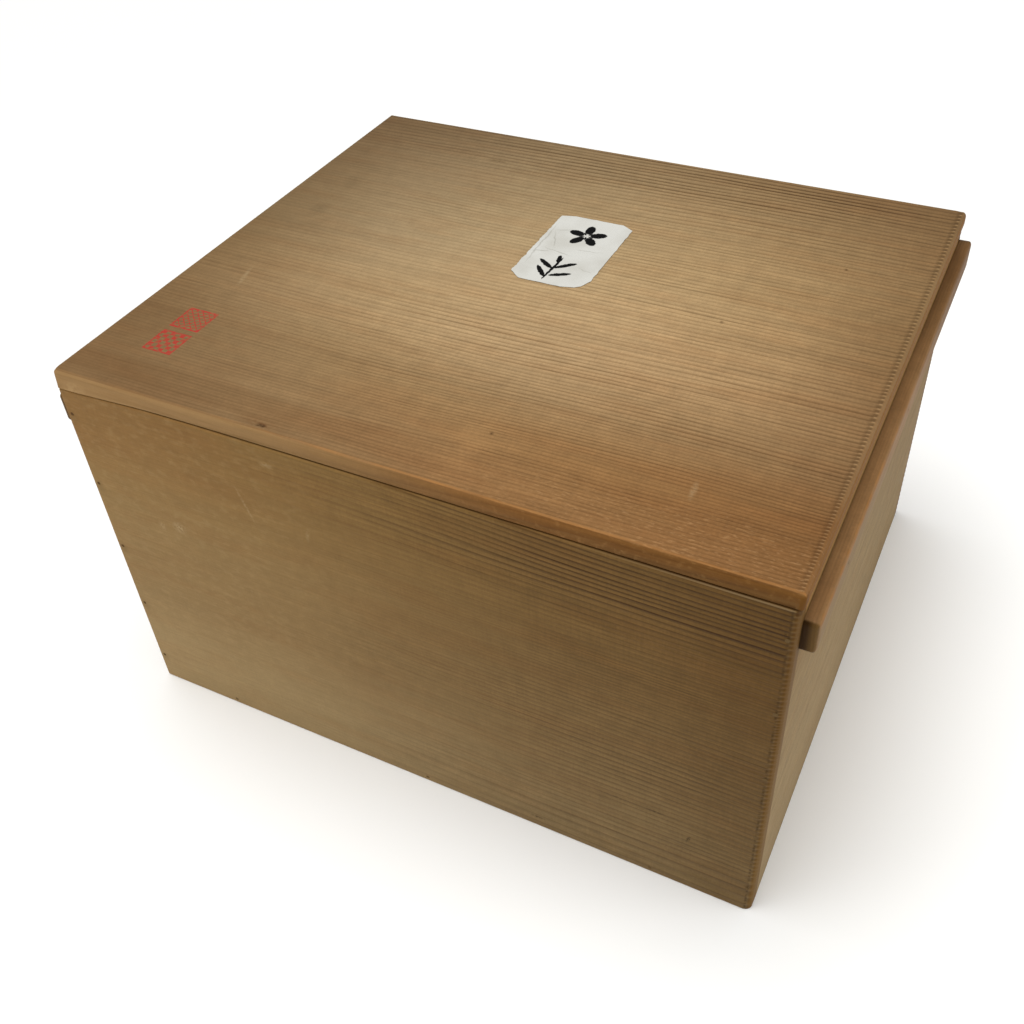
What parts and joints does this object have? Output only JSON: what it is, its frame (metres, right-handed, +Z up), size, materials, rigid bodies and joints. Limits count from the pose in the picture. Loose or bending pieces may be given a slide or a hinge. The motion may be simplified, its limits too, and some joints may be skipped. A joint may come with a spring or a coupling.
{
  "type": "doll storage box",
  "caption": "Rectangular cedar storage box of pegged boards with a flat lift-off lid, a handle batten on each side and a blank paper label on the lid.",
  "frame": {"origin": "middle of the underside", "axes": "+X to the right along the front, +Y from the front to the back, +Z up"},
  "size_m": [0.5032, 0.4244, 0.2977],
  "materials": {
    "end_boards": "weathered bare cedar",
    "side_boards": "bare cedar",
    "inside_wood": "planed cedar",
    "lid": "weathered bare cedar",
    "handle_battens": "worn cedar",
    "pegs": "end grain",
    "label_paper": "matt paper"
  },
  "bodies": {
    "box": {"front_board": "end_boards", "back_board": "end_boards", "left_side_board": "side_boards", "right_side_board": "side_boards", "bottom_board": "inside_wood", "left_handle_batten": "handle_battens", "right_handle_batten": "handle_battens", "front_left_peg_1": "pegs", "front_left_peg_2": "pegs", "front_left_peg_3": "pegs", "front_left_peg_4": "pegs", "front_left_peg_5": "pegs", "front_right_peg_1": "pegs", "front_right_peg_2": "pegs", "front_right_peg_3": "pegs", "front_right_peg_4": "pegs", "front_right_peg_5": "pegs", "back_left_peg_1": "pegs", "back_left_peg_2": "pegs", "back_left_peg_3": "pegs", "back_left_peg_4": "pegs", "back_left_peg_5": "pegs", "back_right_peg_1": "pegs", "back_right_peg_2": "pegs", "back_right_peg_3": "pegs", "back_right_peg_4": "pegs", "back_right_peg_5": "pegs", "front_bottom_peg_1": "pegs", "front_bottom_peg_2": "pegs", "front_bottom_peg_3": "pegs", "back_bottom_peg_1": "pegs", "back_bottom_peg_2": "pegs", "back_bottom_peg_3": "pegs", "left_bottom_peg_1": "pegs", "left_bottom_peg_2": "pegs", "left_bottom_peg_3": "pegs", "right_bottom_peg_1": "pegs", "right_bottom_peg_2": "pegs", "right_bottom_peg_3": "pegs", "left_handle_peg_1": "pegs", "left_handle_peg_2": "pegs", "left_handle_peg_3": "pegs", "right_handle_peg_1": "pegs", "right_handle_peg_2": "pegs", "right_handle_peg_3": "pegs"},
    "lid": {"lid_board": "lid", "lid_left_batten": "inside_wood", "lid_right_batten": "inside_wood", "paper_label": "label_paper", "lid_left_peg_1": "pegs", "lid_left_peg_2": "pegs", "lid_left_peg_3": "pegs", "lid_right_peg_1": "pegs", "lid_right_peg_2": "pegs", "lid_right_peg_3": "pegs"}
  },
  "joints": [
    {"name": "lid_lift", "type": "slide", "parent": "box", "child": "lid", "axis": [0, 0, 1], "range_m": [0, 0.3]}
  ]
}
